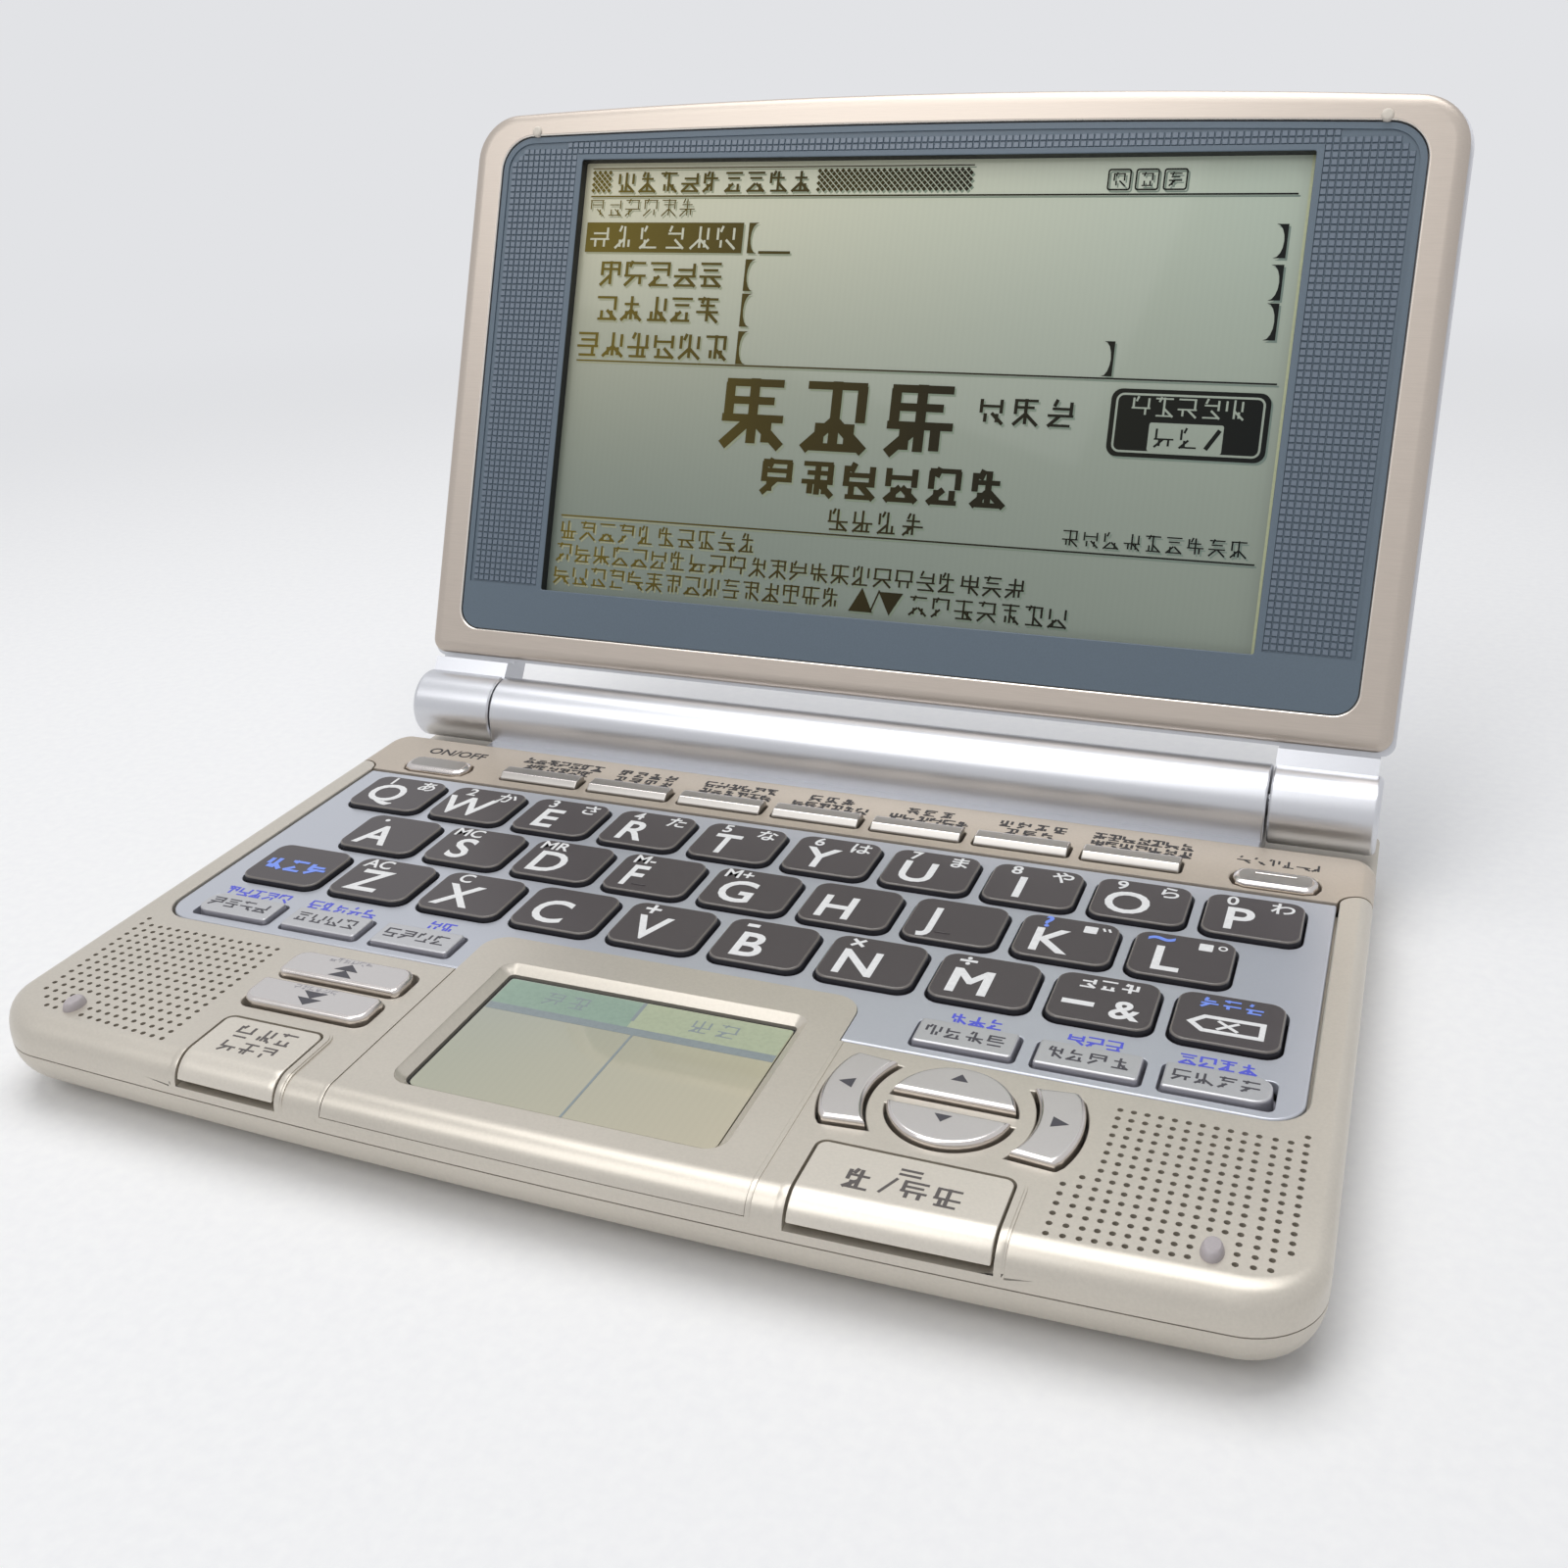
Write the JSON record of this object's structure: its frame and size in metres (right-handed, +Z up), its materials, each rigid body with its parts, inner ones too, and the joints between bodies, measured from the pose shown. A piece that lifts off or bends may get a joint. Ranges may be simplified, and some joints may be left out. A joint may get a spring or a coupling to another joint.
{
  "type": "electronic dictionary",
  "caption": "Clamshell electronic dictionary: a base with letter keys, an arrow pad and a small writing display, and a hinged lid that holds the main display.",
  "frame": {"origin": "centre of the box around the open dictionary, on the plane that its feet stand on", "axes": "+X to the user's right along the hinge, +Y from the user towards the hinge, +Z up"},
  "size_m": [0.1498, 0.139, 0.1028],
  "materials": {
    "base_paint": "satin metallic champagne paint on moulded plastic",
    "strip_paint": "satin metallic champagne paint, a little browner",
    "plate_paint": "satin metallic blue-grey paint",
    "letter_key": "fine satin charcoal plastic with white legends",
    "small_key": "satin grey plastic with dark legends",
    "plated_key": "satin top with bright plated edges",
    "barrel_paint": "satin silver",
    "lid_back_paint": "satin silver paint on moulded plastic",
    "lid_frame": "brushed champagne film with a bright inner edge",
    "bezel_plastic": "slate blue-grey plastic, moulded square grid at the sides",
    "lcd": "grey-green liquid crystal display",
    "small_lcd": "pale green liquid crystal display",
    "mat_rubber": "moulded silicone rubber",
    "board": "green solder resist",
    "speaker": "black frame with a steel magnet cup",
    "cell": "printed steel can",
    "pin_steel": "ground steel"
  },
  "bodies": {
    "base": {"lower_case": "base_paint", "upper_case": "base_paint", "rear_strip": "strip_paint", "keyboard_plate": "plate_paint", "writing_bezel": "base_paint", "writing_display": "small_lcd", "key_mat": "mat_rubber", "circuit_board": "board", "hinge_barrel": "barrel_paint", "battery_cover": "base_paint", "battery_left": "cell", "battery_right": "cell", "speaker_left": "speaker", "speaker_right": "speaker", "hinge_pin_left": "pin_steel", "hinge_pin_right": "pin_steel"},
    "lid": {"lid_front_frame": "lid_frame", "lid_back_cover": "lid_back_paint", "display_bezel": "bezel_plastic", "display_panel": "lcd"},
    "top_keys": {"top_key_strip": "strip_paint"},
    "small_keys_left": {"soft_keys_left": "small_key"},
    "small_keys_right": {"soft_keys_right": "small_key"},
    "key_page_up_body": {"key_page_up": "plated_key"},
    "key_page_down_body": {"key_page_down": "plated_key"},
    "key_up_body": {"key_up": "plated_key"},
    "key_down_body": {"key_down": "plated_key"},
    "key_right_body": {"key_right": "plated_key"},
    "key_left_body": {"key_left": "plated_key"},
    "key_return_body": {"key_return": "base_paint"},
    "key_enter_body": {"key_enter": "base_paint"},
    "key_q_body": {"key_q": "letter_key"},
    "key_w_body": {"key_w": "letter_key"},
    "key_e_body": {"key_e": "letter_key"},
    "key_r_body": {"key_r": "letter_key"},
    "key_t_body": {"key_t": "letter_key"},
    "key_y_body": {"key_y": "letter_key"},
    "key_u_body": {"key_u": "letter_key"},
    "key_i_body": {"key_i": "letter_key"},
    "key_o_body": {"key_o": "letter_key"},
    "key_p_body": {"key_p": "letter_key"},
    "key_a_body": {"key_a": "letter_key"},
    "key_s_body": {"key_s": "letter_key"},
    "key_d_body": {"key_d": "letter_key"},
    "key_f_body": {"key_f": "letter_key"},
    "key_g_body": {"key_g": "letter_key"},
    "key_h_body": {"key_h": "letter_key"},
    "key_j_body": {"key_j": "letter_key"},
    "key_k_body": {"key_k": "letter_key"},
    "key_l_body": {"key_l": "letter_key"},
    "key_shift_body": {"key_shift": "letter_key"},
    "key_z_body": {"key_z": "letter_key"},
    "key_x_body": {"key_x": "letter_key"},
    "key_c_body": {"key_c": "letter_key"},
    "key_v_body": {"key_v": "letter_key"},
    "key_b_body": {"key_b": "letter_key"},
    "key_n_body": {"key_n": "letter_key"},
    "key_m_body": {"key_m": "letter_key"},
    "key_symbol_body": {"key_symbol": "letter_key"},
    "key_delete_body": {"key_delete": "letter_key"}
  },
  "joints": [
    {"name": "lid_hinge", "type": "hinge", "parent": "base", "child": "lid", "pos_m": [0, 0.02797, 0.0135], "axis": [1, 0, 0], "range_deg": [-37.4, 112.2]},
    {"name": "top_keys_press", "type": "slide", "parent": "base", "child": "top_keys", "axis": [0, 0, -1], "range_m": [0, 0.0006], "stiffness_N_per_m": 600},
    {"name": "small_keys_left_press", "type": "slide", "parent": "base", "child": "small_keys_left", "axis": [0, 0, -1], "range_m": [0, 0.0008], "stiffness_N_per_m": 500},
    {"name": "small_keys_right_press", "type": "slide", "parent": "base", "child": "small_keys_right", "axis": [0, 0, -1], "range_m": [0, 0.0008], "stiffness_N_per_m": 500},
    {"name": "key_page_up_press", "type": "slide", "parent": "base", "child": "key_page_up_body", "axis": [0, 0, -1], "range_m": [0, 0.0008], "stiffness_N_per_m": 400},
    {"name": "key_page_down_press", "type": "slide", "parent": "base", "child": "key_page_down_body", "axis": [0, 0, -1], "range_m": [0, 0.0008], "stiffness_N_per_m": 400},
    {"name": "key_up_press", "type": "slide", "parent": "base", "child": "key_up_body", "axis": [0, 0, -1], "range_m": [0, 0.0008], "stiffness_N_per_m": 400},
    {"name": "key_down_press", "type": "slide", "parent": "base", "child": "key_down_body", "axis": [0, 0, -1], "range_m": [0, 0.0008], "stiffness_N_per_m": 400},
    {"name": "key_right_press", "type": "slide", "parent": "base", "child": "key_right_body", "axis": [0, 0, -1], "range_m": [0, 0.0008], "stiffness_N_per_m": 400},
    {"name": "key_left_press", "type": "slide", "parent": "base", "child": "key_left_body", "axis": [0, 0, -1], "range_m": [0, 0.0008], "stiffness_N_per_m": 400},
    {"name": "key_return_press", "type": "slide", "parent": "base", "child": "key_return_body", "axis": [0, 0, -1], "range_m": [0, 0.0006], "stiffness_N_per_m": 500},
    {"name": "key_enter_press", "type": "slide", "parent": "base", "child": "key_enter_body", "axis": [0, 0, -1], "range_m": [0, 0.0006], "stiffness_N_per_m": 500},
    {"name": "key_q_press", "type": "slide", "parent": "base", "child": "key_q_body", "axis": [0, 0, -1], "range_m": [0, 0.0008], "stiffness_N_per_m": 400},
    {"name": "key_w_press", "type": "slide", "parent": "base", "child": "key_w_body", "axis": [0, 0, -1], "range_m": [0, 0.0008], "stiffness_N_per_m": 400},
    {"name": "key_e_press", "type": "slide", "parent": "base", "child": "key_e_body", "axis": [0, 0, -1], "range_m": [0, 0.0008], "stiffness_N_per_m": 400},
    {"name": "key_r_press", "type": "slide", "parent": "base", "child": "key_r_body", "axis": [0, 0, -1], "range_m": [0, 0.0008], "stiffness_N_per_m": 400},
    {"name": "key_t_press", "type": "slide", "parent": "base", "child": "key_t_body", "axis": [0, 0, -1], "range_m": [0, 0.0008], "stiffness_N_per_m": 400},
    {"name": "key_y_press", "type": "slide", "parent": "base", "child": "key_y_body", "axis": [0, 0, -1], "range_m": [0, 0.0008], "stiffness_N_per_m": 400},
    {"name": "key_u_press", "type": "slide", "parent": "base", "child": "key_u_body", "axis": [0, 0, -1], "range_m": [0, 0.0008], "stiffness_N_per_m": 400},
    {"name": "key_i_press", "type": "slide", "parent": "base", "child": "key_i_body", "axis": [0, 0, -1], "range_m": [0, 0.0008], "stiffness_N_per_m": 400},
    {"name": "key_o_press", "type": "slide", "parent": "base", "child": "key_o_body", "axis": [0, 0, -1], "range_m": [0, 0.0008], "stiffness_N_per_m": 400},
    {"name": "key_p_press", "type": "slide", "parent": "base", "child": "key_p_body", "axis": [0, 0, -1], "range_m": [0, 0.0008], "stiffness_N_per_m": 400},
    {"name": "key_a_press", "type": "slide", "parent": "base", "child": "key_a_body", "axis": [0, 0, -1], "range_m": [0, 0.0008], "stiffness_N_per_m": 400},
    {"name": "key_s_press", "type": "slide", "parent": "base", "child": "key_s_body", "axis": [0, 0, -1], "range_m": [0, 0.0008], "stiffness_N_per_m": 400},
    {"name": "key_d_press", "type": "slide", "parent": "base", "child": "key_d_body", "axis": [0, 0, -1], "range_m": [0, 0.0008], "stiffness_N_per_m": 400},
    {"name": "key_f_press", "type": "slide", "parent": "base", "child": "key_f_body", "axis": [0, 0, -1], "range_m": [0, 0.0008], "stiffness_N_per_m": 400},
    {"name": "key_g_press", "type": "slide", "parent": "base", "child": "key_g_body", "axis": [0, 0, -1], "range_m": [0, 0.0008], "stiffness_N_per_m": 400},
    {"name": "key_h_press", "type": "slide", "parent": "base", "child": "key_h_body", "axis": [0, 0, -1], "range_m": [0, 0.0008], "stiffness_N_per_m": 400},
    {"name": "key_j_press", "type": "slide", "parent": "base", "child": "key_j_body", "axis": [0, 0, -1], "range_m": [0, 0.0008], "stiffness_N_per_m": 400},
    {"name": "key_k_press", "type": "slide", "parent": "base", "child": "key_k_body", "axis": [0, 0, -1], "range_m": [0, 0.0008], "stiffness_N_per_m": 400},
    {"name": "key_l_press", "type": "slide", "parent": "base", "child": "key_l_body", "axis": [0, 0, -1], "range_m": [0, 0.0008], "stiffness_N_per_m": 400},
    {"name": "key_shift_press", "type": "slide", "parent": "base", "child": "key_shift_body", "axis": [0, 0, -1], "range_m": [0, 0.0008], "stiffness_N_per_m": 400},
    {"name": "key_z_press", "type": "slide", "parent": "base", "child": "key_z_body", "axis": [0, 0, -1], "range_m": [0, 0.0008], "stiffness_N_per_m": 400},
    {"name": "key_x_press", "type": "slide", "parent": "base", "child": "key_x_body", "axis": [0, 0, -1], "range_m": [0, 0.0008], "stiffness_N_per_m": 400},
    {"name": "key_c_press", "type": "slide", "parent": "base", "child": "key_c_body", "axis": [0, 0, -1], "range_m": [0, 0.0008], "stiffness_N_per_m": 400},
    {"name": "key_v_press", "type": "slide", "parent": "base", "child": "key_v_body", "axis": [0, 0, -1], "range_m": [0, 0.0008], "stiffness_N_per_m": 400},
    {"name": "key_b_press", "type": "slide", "parent": "base", "child": "key_b_body", "axis": [0, 0, -1], "range_m": [0, 0.0008], "stiffness_N_per_m": 400},
    {"name": "key_n_press", "type": "slide", "parent": "base", "child": "key_n_body", "axis": [0, 0, -1], "range_m": [0, 0.0008], "stiffness_N_per_m": 400},
    {"name": "key_m_press", "type": "slide", "parent": "base", "child": "key_m_body", "axis": [0, 0, -1], "range_m": [0, 0.0008], "stiffness_N_per_m": 400},
    {"name": "key_symbol_press", "type": "slide", "parent": "base", "child": "key_symbol_body", "axis": [0, 0, -1], "range_m": [0, 0.0008], "stiffness_N_per_m": 400},
    {"name": "key_delete_press", "type": "slide", "parent": "base", "child": "key_delete_body", "axis": [0, 0, -1], "range_m": [0, 0.0008], "stiffness_N_per_m": 400}
  ]
}
